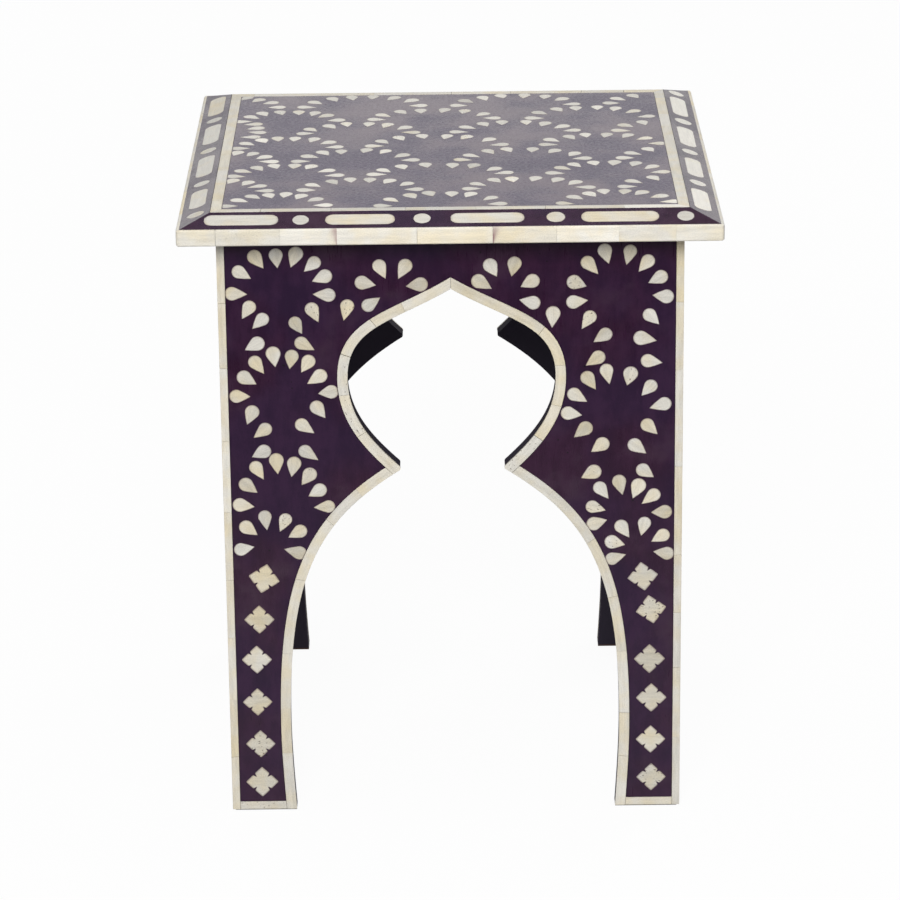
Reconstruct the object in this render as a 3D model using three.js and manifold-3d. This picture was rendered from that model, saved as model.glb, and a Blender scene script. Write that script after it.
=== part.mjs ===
// A Moroccan kursi stool: a square top with bevelled edges on four side panels, each cut
// through with a pointed keyhole arch. All outside faces are inlaid: strips of bone and a dark
// poured resin lie side by side on the wood. The inside is painted black.
// Millimetres, +Z up. The origin is on the floor, under the middle of the top, and the front
// faces -Y.
import * as THREE from "three";
import { mergeVertices } from "three/addons/utils/BufferGeometryUtils.js";
import Module from "manifold-3d";

const wasm = await Module();
wasm.setup();

// The whole stool
const stoolWidth = 381; // over the bone edging of the top
const stoolHeight = 458.5;
const overhang = 26.2; // from the edging to the inlaid face of a panel
const inlayThickness = 2; // of the bone and of the resin beside it
const glueLine = 0.3; // between two pieces that lie side by side
const cutOverrun = 6; // how far a cutting shape runs past what it cuts

// The top
const topThickness = 18.3;
const edgingThickness = 2.3;
const edgingEase = 0.5; // the edging's rubbed-down corners
const bevelRun = 20.8; // across the bevel
const bevelDrop = 6.6; // down the bevel
const topStringingWidth = 7.5;

// The side panels
const panelThickness = 13;
const soleHeight = 1.3; // bare wood under the inlay
const borderStripWidth = 5.5;
const footStripHeight = 6;

// The arch in each panel
const footWidth = 47.3; // a leg at the floor
const legWidth = 44.4; // a leg where it is narrowest
const legNarrowHeight = 67.3;
const cuspGap = 72; // between the tips of the two cusps
const lobeWidth = 147.6;
const crownHeight = 40.6; // wood above the point of the arch
const lobeDrop = 65.6; // from the point down to the widest part of the lobe
const cuspDrop = 133.8; // from the point down to the tips of the cusps
const archStripWidth = 7.3;

// One side of the arch is four curves, from the foot up to the point. The two handles of each
// curve are shares of its way across and of its way up.
const archHandleShares = [
  [[0.557, 0.359], [1, 0.708]],
  [[0, 0.605], [0.281, 0.81]],
  [[0.588, 0.306], [1, 0.575]],
  [[0, 0.587], [0.434, 0.628]],
];
const archCurveSteps = [3, 16, 9, 12];

// The glue blocks in the upper inside corners, and the screw through each into the top
const blockWidth = 28;
const blockHeight = 40;
const blockChamfer = 9;
const screwHeadRadius = 4;
const screwHeadHeight = 2.6;
const screwShankRadius = 2;
const screwTipLength = 4;
const screwCover = 5; // wood left above the tip
const screwClearance = 0.3;
const screwSides = 12;

// Distances from the middle of the stool, and heights from the floor, that these give
const faceDistance = stoolWidth / 2 - overhang;
const woodDistance = faceDistance - inlayThickness;
const innerDistance = woodDistance - panelThickness;
const bodyHeight = stoolHeight - topThickness;
const edgingDistance = stoolWidth / 2 - edgingThickness;
const fieldDistance = edgingDistance - bevelRun;
const bevelFootHeight = stoolHeight - bevelDrop;
const archHeight = bodyHeight - crownHeight;
const mitreInset = glueLine / Math.SQRT2; // opens half a glue line on each side of a mitre

const sideNames = ["front", "right", "back", "left"];
const cornerNames = ["front_left", "front_right", "back_right", "back_left"];

const bone = new THREE.MeshStandardMaterial({
  name: "bone",
  color: 0xe4dcc8,
  roughness: 0.42,
  metalness: 0,
  flatShading: true,
});
const resin = new THREE.MeshStandardMaterial({
  name: "resin",
  color: 0x37243b,
  roughness: 0.3,
  metalness: 0,
  flatShading: true,
});
const blackWood = new THREE.MeshStandardMaterial({
  name: "black painted wood",
  color: 0x141416,
  roughness: 0.5,
  metalness: 0,
  flatShading: true,
});
const screwSteel = new THREE.MeshStandardMaterial({
  name: "screw steel",
  color: 0x9a9a96,
  roughness: 0.35,
  metalness: 1,
  flatShading: true,
});

// A closed geometry as a solid that can be cut and joined.
function solidOf(geometry) {
  geometry.deleteAttribute("normal");
  geometry.deleteAttribute("uv");
  const merged = mergeVertices(geometry);
  return new wasm.Manifold(
    new wasm.Mesh({
      numProp: 3,
      vertProperties: merged.attributes.position.array,
      triVerts: Uint32Array.from(merged.index.array),
    }),
  );
}

function geometryOf(solid) {
  const mesh = solid.getMesh();
  const geometry = new THREE.BufferGeometry();
  geometry.setAttribute("position", new THREE.BufferAttribute(mesh.vertProperties, 3));
  geometry.setIndex(new THREE.BufferAttribute(mesh.triVerts, 1));
  geometry.computeVertexNormals();
  return geometry;
}

function indexedGeometry(positions, index) {
  const geometry = new THREE.BufferGeometry();
  geometry.setAttribute("position", new THREE.Float32BufferAttribute(positions, 3));
  geometry.setIndex(index);
  geometry.computeVertexNormals();
  return geometry;
}

function pieceOf(name, geometry, material) {
  const mesh = new THREE.Mesh(geometry, material);
  mesh.name = name;
  return mesh;
}

// A plate on the front of the stool. The outline is drawn across and up, and the plate fills the
// depth between two distances from the stool's middle.
function frontPlate(outline, nearDistance, farDistance) {
  const geometry = new THREE.ExtrudeGeometry(new THREE.Shape(outline), {
    depth: farDistance - nearDistance,
    bevelEnabled: false,
  });
  geometry.translate(0, 0, nearDistance);
  geometry.rotateX(Math.PI / 2);
  return solidOf(geometry);
}

// An upright prism on a plan outline.
function uprightPrism(outline, bottom, top) {
  const geometry = new THREE.ExtrudeGeometry(new THREE.Shape(outline), {
    depth: top - bottom,
    bevelEnabled: false,
  });
  geometry.translate(0, 0, bottom);
  return solidOf(geometry);
}

function rectangle(left, right, bottom, top) {
  return [
    new THREE.Vector2(left, bottom),
    new THREE.Vector2(right, bottom),
    new THREE.Vector2(right, top),
    new THREE.Vector2(left, top),
  ];
}

// The faces between two neighbouring outlines of a square piece, four corners to an outline.
function squareWalls(from, to) {
  const index = [];
  for (let corner = 0; corner < 4; corner += 1) {
    const next = (corner + 1) % 4;
    const low = from * 4 + corner;
    const lowNext = from * 4 + next;
    const high = to * 4 + corner;
    const highNext = to * 4 + next;
    index.push(low, lowNext, highNext, low, highNext, high);
  }
  return index;
}

function squareCorners(levels) {
  return levels.flatMap(([half, height]) => [
    [-half, -half, height],
    [half, -half, height],
    [half, half, height],
    [-half, half, height],
  ]);
}

// A solid that is square in plan. A level is its half width and height, from the bottom up.
function squareLoft(levels) {
  const last = levels.length - 1;
  const index = [0, 2, 1, 0, 3, 2];
  for (let level = 0; level < last; level += 1) index.push(...squareWalls(level, level + 1));
  const top = last * 4;
  index.push(top, top + 1, top + 2, top, top + 2, top + 3);
  return indexedGeometry(squareCorners(levels).flat(), index);
}

// A square ring. Its section is a closed list of distances from the middle and heights, which
// runs up on the outside and down on the inside.
function squareRing(section) {
  const index = section.flatMap((_, i) => squareWalls(i, (i + 1) % section.length));
  return indexedGeometry(squareCorners(section).flat(), index);
}

// A straight strip along the front of the top, mitred at both ends. Its section is listed as a
// square ring's is, and is convex.
function mitredStrip(section) {
  const count = section.length;
  const positions = section.flatMap(([distance, height]) => [
    [mitreInset - distance, -distance, height],
    [distance - mitreInset, -distance, height],
  ]);
  const index = [];
  for (let i = 0; i < count; i += 1) {
    const left = i * 2;
    const leftNext = ((i + 1) % count) * 2;
    index.push(left, left + 1, leftNext + 1, left, leftNext + 1, leftNext);
  }
  for (let i = 1; i < count - 1; i += 1) {
    const point = i * 2;
    index.push(0, point, point + 2, 1, point + 3, point + 1);
  }
  return indexedGeometry(positions.flat(), index);
}

// The right half of the arch's edge as curves that join end to end, from the foot to the point.
function archCurves() {
  const stations = [
    new THREE.Vector2(faceDistance - footWidth, 0),
    new THREE.Vector2(faceDistance - legWidth, legNarrowHeight),
    new THREE.Vector2(cuspGap / 2, archHeight - cuspDrop),
    new THREE.Vector2(lobeWidth / 2, archHeight - lobeDrop),
    new THREE.Vector2(0, archHeight),
  ];
  return archHandleShares.map((shares, i) => {
    const start = stations[i];
    const way = stations[i + 1].clone().sub(start);
    const handles = shares.map(([across, up]) =>
      new THREE.Vector2(way.x * across, way.y * up).add(start),
    );
    return new THREE.CubicBezierCurve(start, ...handles, stations[i + 1]);
  });
}

// Points on some of the arch's curves, each with the direction that leads into the wood.
function archStations(first, last) {
  return archCurves()
    .slice(first, last + 1)
    .flatMap((curve, i) => {
      const steps = archCurveSteps[first + i];
      const from = i ? 1 : 0;
      return Array.from({ length: steps + 1 - from }, (_, j) => {
        const share = (j + from) / steps;
        const along = curve.getTangent(share);
        return { point: curve.getPoint(share), along, inward: new THREE.Vector2(along.y, -along.x) };
      });
    });
}

// A band along the arch's edge on one hand, 1 for the right and -1 for the left. It reaches from
// the opening into the wood by its width, and runs on past the ends of its curves.
function archBand(first, last, width, hand) {
  const stations = archStations(first, last);
  const start = stations[0];
  const end = stations[stations.length - 1];
  stations.unshift({ ...start, point: start.point.clone().addScaledVector(start.along, -cutOverrun) });
  stations.push({ ...end, point: end.point.clone().addScaledVector(end.along, cutOverrun) });
  const offset = (by) =>
    stations.map(({ point, inward }) => point.clone().addScaledVector(inward, by));
  const outline = [...offset(-cutOverrun), ...offset(width).reverse()];
  for (const point of outline) point.x *= hand;
  return frontPlate(outline, woodDistance - cutOverrun, faceDistance + cutOverrun);
}

// A panel's front view, with the arch cut out of it. It is wider than the panel, whose ends are
// mitred afterwards.
function panelOutline() {
  const right = archStations(0, archHandleShares.length - 1).map(({ point }) => point);
  const left = right.map(({ x, y }) => new THREE.Vector2(-x, y)).slice(0, -1);
  const half = faceDistance + cutOverrun;
  return [
    new THREE.Vector2(-half, 0),
    ...left,
    ...right.reverse(),
    new THREE.Vector2(half, 0),
    new THREE.Vector2(half, bodyHeight),
    new THREE.Vector2(-half, bodyHeight),
  ];
}

// The room that one side of the stool has: neighbouring sides meet on a mitre.
function sideRoom() {
  const far = faceDistance + cutOverrun;
  const near = innerDistance - cutOverrun;
  return uprightPrism(
    [
      new THREE.Vector2(mitreInset - far, -far),
      new THREE.Vector2(far - mitreInset, -far),
      new THREE.Vector2(near - mitreInset, -near),
      new THREE.Vector2(mitreInset - near, -near),
    ],
    -cutOverrun,
    bodyHeight + cutOverrun,
  );
}

// A cutter through the inlaid layer of a side.
function facePlate(left, right, bottom, top) {
  return frontPlate(
    rectangle(left, right, bottom, top),
    woodDistance - cutOverrun,
    faceDistance + cutOverrun,
  );
}

// The inlaid layer of one side, before it is parted into bone and resin.
function inlayLayer() {
  const half = faceDistance + cutOverrun;
  return frontPlate(panelOutline(), woodDistance, faceDistance)
    .intersect(sideRoom())
    .intersect(facePlate(-half, half, soleHeight, bodyHeight));
}

// The bone strips of one hand of a side. The upper strip of the arch runs through to the tip of
// the cusp and the lower one butts against it; both pointed ends of the upper strips meet above
// the middle of the arch. The foot strip fills the leg between the border and the arch.
function boneStrips(layer, hand) {
  const across = (from, to, bottom, top) =>
    facePlate(Math.min(from * hand, to * hand), Math.max(from * hand, to * hand), bottom, top);
  const far = faceDistance + cutOverrun;
  const borderEdge = faceDistance - borderStripWidth;
  const gap = archStripWidth + glueLine;
  const half = across(glueLine / 2, far, -cutOverrun, bodyHeight + cutOverrun);
  const upper = archBand(2, 3, archStripWidth, hand);
  const lower = archBand(0, 1, archStripWidth, hand);
  const footTop = soleHeight + footStripHeight;
  return {
    arch_upper: layer.intersect(upper).intersect(half),
    arch_lower: layer.intersect(lower).subtract(archBand(2, 3, gap, hand)),
    border: layer.intersect(across(borderEdge, far, -cutOverrun, bodyHeight + cutOverrun)),
    foot: layer
      .intersect(across(lobeWidth / 2, borderEdge - glueLine, -cutOverrun, footTop))
      .subtract(archBand(0, 1, gap, hand)),
  };
}

// What the bone leaves of the inlaid layer, a glue line clear of each strip. The bands of the two
// hands meet at the middle of the arch.
function resinOf(layer) {
  const far = faceDistance + cutOverrun;
  const edge = faceDistance - borderStripWidth - glueLine;
  const gap = archStripWidth + glueLine;
  const bottom = soleHeight + footStripHeight + glueLine;
  let left = layer.intersect(facePlate(-edge, edge, bottom, bodyHeight + cutOverrun));
  for (const hand of [-1, 1]) {
    const half = facePlate(Math.min(0, far * hand), Math.max(0, far * hand), 0, bodyHeight);
    left = left
      .subtract(archBand(0, 1, gap, hand))
      .subtract(archBand(2, 3, gap, hand).intersect(half));
  }
  return left;
}

// One side of the body: the wooden panel, the bone strips and the resin between them.
function sidePieces(side) {
  const panel = frontPlate(panelOutline(), innerDistance, woodDistance).intersect(sideRoom());
  const layer = inlayLayer();
  const pieces = [
    pieceOf(`${side}_panel`, geometryOf(panel), blackWood),
    pieceOf(`${side}_resin`, geometryOf(resinOf(layer)), resin),
  ];
  for (const [handName, hand] of [["left", -1], ["right", 1]]) {
    for (const [kind, strip] of Object.entries(boneStrips(layer, hand))) {
      pieces.push(pieceOf(`${side}_${kind}_strip_${handName}`, geometryOf(strip), bone));
    }
  }
  return pieces;
}

// The bone along one side of the top: the edging and the stringing of the flat field.
function topStrips(side) {
  const outer = stoolWidth / 2;
  const edging = mitredStrip([
    [edgingDistance, bodyHeight],
    [outer - edgingEase, bodyHeight],
    [outer, bodyHeight + edgingEase],
    [outer, bevelFootHeight - edgingEase],
    [outer - edgingEase, bevelFootHeight],
    [edgingDistance, bevelFootHeight],
  ]);
  const stringing = mitredStrip([
    [fieldDistance - topStringingWidth, stoolHeight - inlayThickness],
    [fieldDistance, stoolHeight - inlayThickness],
    [fieldDistance, stoolHeight],
    [fieldDistance - topStringingWidth, stoolHeight],
  ]);
  return [
    pieceOf(`top_edging_${side}`, edging, bone),
    pieceOf(`top_stringing_${side}`, stringing, bone),
  ];
}

// The axis of the screw in the front left corner, from the middle of the stool
const screwDistance = innerDistance - (blockWidth - blockChamfer / 2) / 2;

// A turned shape with the screw's outline, grown all round by a clearance. As a cutter it also
// runs out below the head.
function screwForm(clearance) {
  const length = blockHeight + topThickness - inlayThickness - screwCover;
  const outline = [
    [0, 0],
    [screwHeadRadius + clearance, 0],
    [screwShankRadius + clearance, screwHeadHeight],
    [screwShankRadius + clearance, length - screwTipLength],
    [0, length + clearance],
  ];
  if (clearance) {
    outline.splice(0, 1, [0, -cutOverrun], [screwHeadRadius + clearance, -cutOverrun]);
  }
  const geometry = new THREE.LatheGeometry(
    outline.map(([radius, height]) => new THREE.Vector2(radius, height)),
    screwSides,
  );
  geometry.rotateX(Math.PI / 2);
  geometry.translate(-screwDistance, -screwDistance, bodyHeight - blockHeight);
  return solidOf(geometry);
}

// A glue block in the front left corner, flat against two panels and the underside of the top,
// with its inner corner cut off.
function cornerBlock() {
  const outer = -innerDistance;
  const inner = outer + blockWidth;
  const outline = [
    new THREE.Vector2(outer, outer),
    new THREE.Vector2(inner, outer),
    new THREE.Vector2(inner, inner - blockChamfer),
    new THREE.Vector2(inner - blockChamfer, inner),
    new THREE.Vector2(outer, inner),
  ];
  const block = uprightPrism(outline, bodyHeight - blockHeight, bodyHeight);
  return block.subtract(screwForm(screwClearance));
}

// The wooden core of the top, with a hole for each of the four screws from below.
function topBoard() {
  let board = solidOf(
    squareLoft([
      [edgingDistance, bodyHeight],
      [edgingDistance, bevelFootHeight - inlayThickness],
      [fieldDistance, stoolHeight - inlayThickness],
    ]),
  );
  const hole = geometryOf(screwForm(screwClearance));
  for (let corner = 0; corner < cornerNames.length; corner += 1) {
    board = board.subtract(solidOf(hole.clone()));
    hole.rotateZ(Math.PI / 2);
  }
  return geometryOf(board);
}

// The resin on the flat field, inside the stringing.
function fieldResin() {
  const half = fieldDistance - topStringingWidth - glueLine;
  return squareLoft([
    [half, stoolHeight - inlayThickness],
    [half, stoolHeight],
  ]);
}

// The resin on the bevels, from the stringing out to the edging. It lies on a bed of glue.
function bevelResin() {
  const inner = fieldDistance + glueLine;
  const innerHeight = stoolHeight - (glueLine * bevelDrop) / bevelRun;
  const thickness = inlayThickness - glueLine;
  return squareRing([
    [edgingDistance, bevelFootHeight - thickness],
    [edgingDistance, bevelFootHeight],
    [inner, innerHeight],
    [inner, innerHeight - thickness],
  ]);
}

const stool = new THREE.Group();
stool.add(
  pieceOf("top_board", topBoard(), blackWood),
  pieceOf("top_field_resin", fieldResin(), resin),
  pieceOf("top_bevel_resin", bevelResin(), resin),
);
sideNames.forEach((side, quarter) => {
  const turned = new THREE.Group();
  turned.rotation.z = (quarter * Math.PI) / 2;
  const corner = cornerNames[quarter];
  turned.add(
    ...sidePieces(side),
    ...topStrips(side),
    pieceOf(`corner_block_${corner}`, geometryOf(cornerBlock()), blackWood),
    pieceOf(`corner_screw_${corner}`, geometryOf(screwForm(0)), screwSteel),
  );
  stool.add(turned);
});

export default stool;
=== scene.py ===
import bpy
import numpy as np
from mathutils import Matrix, Vector


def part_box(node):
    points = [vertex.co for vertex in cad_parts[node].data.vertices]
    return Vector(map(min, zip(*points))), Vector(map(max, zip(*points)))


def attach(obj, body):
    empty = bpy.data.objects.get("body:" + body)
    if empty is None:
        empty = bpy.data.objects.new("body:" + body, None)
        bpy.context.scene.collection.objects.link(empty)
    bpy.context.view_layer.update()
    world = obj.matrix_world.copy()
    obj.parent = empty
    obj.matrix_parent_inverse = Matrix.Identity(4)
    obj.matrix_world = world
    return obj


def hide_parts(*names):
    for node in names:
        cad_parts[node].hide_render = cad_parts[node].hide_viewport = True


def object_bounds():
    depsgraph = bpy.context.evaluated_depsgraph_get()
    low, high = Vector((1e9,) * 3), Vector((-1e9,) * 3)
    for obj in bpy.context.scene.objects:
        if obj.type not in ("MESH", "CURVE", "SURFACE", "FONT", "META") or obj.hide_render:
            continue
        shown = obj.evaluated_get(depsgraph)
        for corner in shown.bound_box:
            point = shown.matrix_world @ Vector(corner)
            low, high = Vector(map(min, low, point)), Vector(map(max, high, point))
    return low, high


# The looks of a bone-inlaid Moroccan kursi stool. Metres, with the origin on the floor under the
# middle of the top and the front towards -Y.
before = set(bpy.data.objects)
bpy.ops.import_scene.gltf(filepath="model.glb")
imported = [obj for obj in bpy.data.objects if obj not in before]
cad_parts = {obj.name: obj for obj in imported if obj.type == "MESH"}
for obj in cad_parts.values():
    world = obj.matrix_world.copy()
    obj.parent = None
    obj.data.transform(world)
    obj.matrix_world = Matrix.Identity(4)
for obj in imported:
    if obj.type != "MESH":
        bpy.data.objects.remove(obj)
cadLow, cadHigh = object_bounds()
mm = 0.001
boneGap = 0.2 * mm  # the dark line between two bone tiles

sideNames = ["front", "right", "back", "left"]
handNames = {-1: "left", 1: "right"}
outwards, upwards = np.array([0.0, -1.0, 0.0]), np.array([0.0, 0.0, 1.0])
# The stool's own measures, as the CAD has them
resinLow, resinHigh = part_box("front_resin")
footLow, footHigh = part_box("front_foot_strip_left")
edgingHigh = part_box("top_edging_front")[1]
halfWidth, topHeight = cadHigh.x, cadHigh.z
facePlane, woodPlane, bodyTop = -resinLow.y, -resinHigh.y, resinHigh.z
panelBack, panelEdge = -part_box("front_panel")[1].y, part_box("front_panel")[1].x
soleHeight, footTop = footLow.z, footHigh.z
borderInner = -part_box("front_border_strip_left")[1].x
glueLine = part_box("front_arch_upper_strip_right")[0].x * 2
fieldEdge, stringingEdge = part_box("top_field_resin")[1].x, -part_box("top_stringing_front")[0].y
edgingEdge, bevelFoot = -edgingHigh.y, edgingHigh.z
inlayThickness = facePlane - woodPlane


def turned(points, quarter):
    # Quarter turns about the upright axis, counter-clockwise seen from above.
    turn = np.linalg.matrix_power(np.array([[0.0, -1, 0], [1, 0, 0], [0, 0, 1]]), quarter)
    return points @ turn.T


def lengthOf(ways):
    return np.linalg.norm(ways, axis=-1, keepdims=True)


def unit(ways):
    return ways / lengthOf(ways)


def onEverySide(make):
    for quarter, side in enumerate(sideNames):
        make(side, quarter)


def signedVolume(points, blocks):
    # A sixth of the sum of the triple products of all triangles.
    return sum(
        (np.cross(points[block[:, 1:-1]], points[block[:, 2:]]) * points[block[:, :1]]).sum() / 6
        for block in blocks
    )


def addObject(name, data):
    item = bpy.data.objects.new(name, data)
    bpy.context.scene.collection.objects.link(item)
    return item


def addPiece(name, points, blocks, material, replaced=(), uv=None, attributes=None):
    # Points and attributes come in any grid shape, blocks as faces with equally many corners.
    grid, points = points.shape[:-1], points.reshape(-1, 3)
    if signedVolume(points, blocks) < 0:
        blocks = [block[:, ::-1] for block in blocks]
    mesh = bpy.data.meshes.new(name)
    mesh.from_pydata(points.tolist(), [], [face for block in blocks for face in block.tolist()])
    for key, values in (attributes or {}).items():
        width = values.shape[-1]
        kind, member = ("FLOAT_VECTOR", "vector") if width == 3 else ("FLOAT", "value")
        values = np.broadcast_to(values, (*grid, width)).ravel()
        mesh.attributes.new(key, kind, "POINT").data.foreach_set(member, values)
    if uv is not None:
        corners = np.empty(len(mesh.loops), np.int32)
        mesh.loops.foreach_get("vertex_index", corners)
        mesh.uv_layers.new(name="grain").data.foreach_set("uv", uv.reshape(-1, 2)[corners].ravel())
    mesh.materials.append(material)
    piece = addObject(name, mesh)
    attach(piece, "root")
    if replaced:
        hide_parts(*replaced)


# Shader helpers. A new node joins the tree of the first socket among its inputs.

def fill(node, inputs):
    # An input takes a value, or a link from another node's socket.
    for key, value in inputs.items():
        if isinstance(value, bpy.types.NodeSocket):
            node.id_data.links.new(value, node.inputs[key])
        else:
            node.inputs[key].default_value = value


def addNode(kind, inputs, tree=None, **settings):
    # What comes back are the node's outputs.
    sockets = (value for value in inputs.values() if isinstance(value, bpy.types.NodeSocket))
    node = (tree or next(sockets).id_data).nodes.new("ShaderNode" + kind)
    for key, value in settings.items():
        setattr(node, key, value)
    fill(node, inputs)
    return node.outputs


def screenColour(shown):
    # A colour as a screen shows it, from 0 to 255, turned into light. A socket stays as it is.
    if isinstance(shown, bpy.types.NodeSocket):
        return shown
    shares = np.array(shown) / 255
    light = np.where(shares <= 0.04045, shares / 12.92, ((shares + 0.055) / 1.055) ** 2.4)
    return (*light.tolist(), 1.0)


def mixColours(factor, first, second):
    inputs = {0: factor, 6: screenColour(first), 7: screenColour(second)}
    return addNode("Mix", inputs, data_type="RGBA")[2]


def scaled(color, by):
    return addNode("VectorMath", {0: color, "Scale": by}, operation="SCALE")[0]


def calculate(operation, first, *others):
    # The operation is done once more for every further value.
    for other in others or (0.0,):
        first = addNode("Math", {0: first, 1: other}, operation=operation)[0]
    return first


def plus(*terms):
    return calculate("ADD", *terms)


def times(*factors):
    return calculate("MULTIPLY", *factors)


def remap(value, fromLow, fromHigh, toLow=0.0, toHigh=1.0):
    inputs = {0: value, 1: fromLow, 2: fromHigh, 3: toLow, 4: toHigh}
    return addNode("MapRange", inputs, interpolation_type="SMOOTHSTEP")[0]


def noise(place, scale, detail=2.0, roughness=0.5, stretch=None):
    if stretch:
        place = addNode("Mapping", {"Vector": place, "Scale": stretch})[0]
    inputs = {"Vector": place, "Scale": scale, "Detail": detail, "Roughness": roughness}
    return addNode("TexNoise", inputs)[0]


def noises(place, patterns):
    return [noise(place, *pattern) for pattern in patterns.values()]


def startGroup(name, inputs):
    # Every group gives a colour, a roughness and a height for the bumps.
    group = bpy.data.node_groups.new(name, "ShaderNodeTree")
    outputs = {"Color": "Color", "Roughness": "Float", "Height": "Float"}
    for way, sockets in (("INPUT", inputs), ("OUTPUT", outputs)):
        for key, kind in sockets.items():
            group.interface.new_socket(key, in_out=way, socket_type="NodeSocket" + kind)
    return group, group.nodes.new("NodeGroupInput").outputs


def endGroup(group, color, roughness, height):
    results = {"Color": color, "Roughness": roughness, "Height": height}
    fill(group.nodes.new("NodeGroupOutput"), results)
    return group


def startMaterial(name, settings):
    # Settings are the shader's own sockets, which are the same all over the surface.
    material = bpy.data.materials.new(name)
    material.use_nodes = True
    shader = material.node_tree.nodes["Principled BSDF"]
    fill(shader, settings)
    return material, shader


def finishShader(shader, group, inputs, bumps):
    worked = addNode("Group", inputs, node_tree=group)
    normal = addNode("Bump", {**bumps, "Height": worked["Height"]})[0]
    fill(shader, {"Base Color": worked["Color"], "Roughness": worked["Roughness"], "Normal": normal})


def makeFinish(name, group, bumps, settings, inputs):
    # A finish that lies where the object's own coordinates say.
    material, shader = startMaterial(name, settings)
    place = addNode("TexCoord", {}, material.node_tree)["Object"]
    finishShader(shader, group, {"Place": place, **inputs}, bumps)
    return material


# Bone

boneLook = {
    "cool": (230, 226, 216), "warm": (230, 217, 186), "warmth": 0.36, "lightness": 0.97,
    "stain": (140, 92, 104), "pore": (84, 66, 52), "rim": (104, 80, 78),
    "ior": 1.58, "roughness": (0.35, 0.48),
    "bumps": {"Strength": 0.5, "Distance": 0.05 * mm},
    # every pattern's scale, detail, roughness and stretch
    "patterns": {
        "streaks": (340, 3, 0.65, (0.12, 1, 1)),
        "clouds": (60,), "grit": (1500, 1), "pores": (700, 1, 0.5, (0.6, 1, 1)),
    },
}


def makeBoneGroup():
    # Streaks run along the piece. The tone holds lightness, warmth and a number of its own that
    # moves the pattern, so that no two pieces look alike.
    inputs = {"Place": "Vector", "Tone": "Vector", "Stain": "Float", "Rim": "Float"}
    group, start = startGroup("boneSurface", inputs)
    tone = addNode("SeparateXYZ", {0: start["Tone"]})
    away = addNode("CombineXYZ", {0: tone[2], 1: times(tone[2], 3.7)})[0]
    place = addNode("VectorMath", {0: start["Place"], 1: away}, operation="ADD")[0]
    streaks, clouds, grit, pores = noises(place, boneLook["patterns"])
    warmth = plus(times(tone[1], 0.5), boneLook["warmth"], remap(clouds, 0.35, 0.7, -0.2, 0.4))
    color = mixColours(warmth, boneLook["cool"], boneLook["warm"])
    value = plus(times(tone[0], 0.1), boneLook["lightness"], remap(streaks, 0.3, 0.7, -0.09, 0.06))
    color = scaled(color, plus(value, remap(grit, 0.3, 0.7, -0.1, 0.09)))
    stained = times(start["Stain"], remap(clouds, 0.3, 0.65, 0.25, 1.0))
    color = mixColours(stained, color, boneLook["stain"])
    # Near an inlaid piece's edge the colour darkens towards the rim colour: part glue line, part painted
    # shade of the gap to the resin.
    color = mixColours(times(remap(start["Rim"], 0.84, 1.0), 0.6), color, boneLook["rim"])
    speck = times(remap(pores, 0.66, 0.71), remap(tone[2], 0.88, 0.92))
    color = mixColours(times(speck, 0.85), color, boneLook["pore"])
    rough = remap(streaks, 0.25, 0.75, *boneLook["roughness"])
    return endGroup(group, color, rough, calculate("SUBTRACT", streaks, speck))


def makeBone():
    material, shader = startMaterial("bone", {"IOR": boneLook["ior"]})
    inputs = {"Place": addNode("UVMap", {}, material.node_tree, uv_map="grain")[0]}
    for key, member in (("Tone", "Vector"), ("Stain", "Fac"), ("Rim", "Fac")):
        inputs[key] = addNode("Attribute", {}, material.node_tree, attribute_name=key.lower())[member]
    finishShader(shader, makeBoneGroup(), inputs, boneLook["bumps"])
    return material


# Resin, poured between the bone and sanded flush with it

resinLook = {
    "deep": (39, 15, 38), "clouded": (58, 30, 55), "blue": (42, 21, 66), "rosy": (60, 20, 53),
    "haze": (78, 62, 76), "pit": (16, 8, 18),
    "bumps": {"Strength": 0.2, "Distance": 0.02 * mm},
    "patterns": {
        "patches": (13, 3, 0.55), "clouds": (30, 4, 0.6), "swirls": (120, 4, 0.65, (1, 1, 0.35)),
        "sanding": (420, 2, 0.7, (1, 1, 0.12)), "grit": (1600,), "pits": (260, 1),
    },
    # the shader's own settings, then the group's. The group's lift scales one resin's colour by place as
    # painted light: lighter on the top where reflection falls, darker on the sides
    "top": ({"IOR": 1.88}, {"Patchiness": 0.7, "Lift": 1.35, "Smoothness": 0.77}),
    "bevel": ({"IOR": 1.6}, {"Patchiness": 0.3, "Lift": 1.05, "Smoothness": 0.75}),
    "side": ({"Specular IOR Level": 0.26}, {"Patchiness": 0.3, "Lift": 0.82, "Smoothness": 0.66}),
}


def makeResinGroup():
    # Clouds and swirls mix two dark tones. Over them lie blue and rosy patches, haze and pits.
    inputs = {"Place": "Vector", "Patchiness": "Float", "Lift": "Float", "Smoothness": "Float"}
    group, start = startGroup("pouredResin", inputs)
    patches, clouds, swirls, sanding, grit, pits = noises(start["Place"], resinLook["patterns"])
    mixed = plus(times(plus(clouds, swirls), 0.5), remap(grit, 0.3, 0.7, -0.04, 0.04))
    color = mixColours(remap(mixed, 0.39, 0.61), resinLook["deep"], resinLook["clouded"])
    tint = mixColours(remap(patches, 0.36, 0.6), resinLook["rosy"], resinLook["blue"])
    color = mixColours(start["Patchiness"], color, tint)
    hazed = times(remap(patches, 0.62, 0.4), remap(clouds, 0.5, 0.7), 0.3)
    # The lift paints light into the colour: the top's resin lighter, the sides' darker.
    color = scaled(mixColours(hazed, color, resinLook["haze"]), start["Lift"])
    pitted = remap(pits, 0.79, 0.82)
    color = mixColours(pitted, color, resinLook["pit"])
    rough = plus(remap(sanding, 0.3, 0.7, -0.05, 0.07), remap(patches, 0.35, 0.65, -0.05, 0.06), 1.0)
    rough = calculate("SUBTRACT", rough, start["Smoothness"])
    height = plus(sanding, times(grit, 0.15), times(pitted, -3.0))
    return endGroup(group, color, rough, height)


# Black paint on the inside and the cut edges

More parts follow.
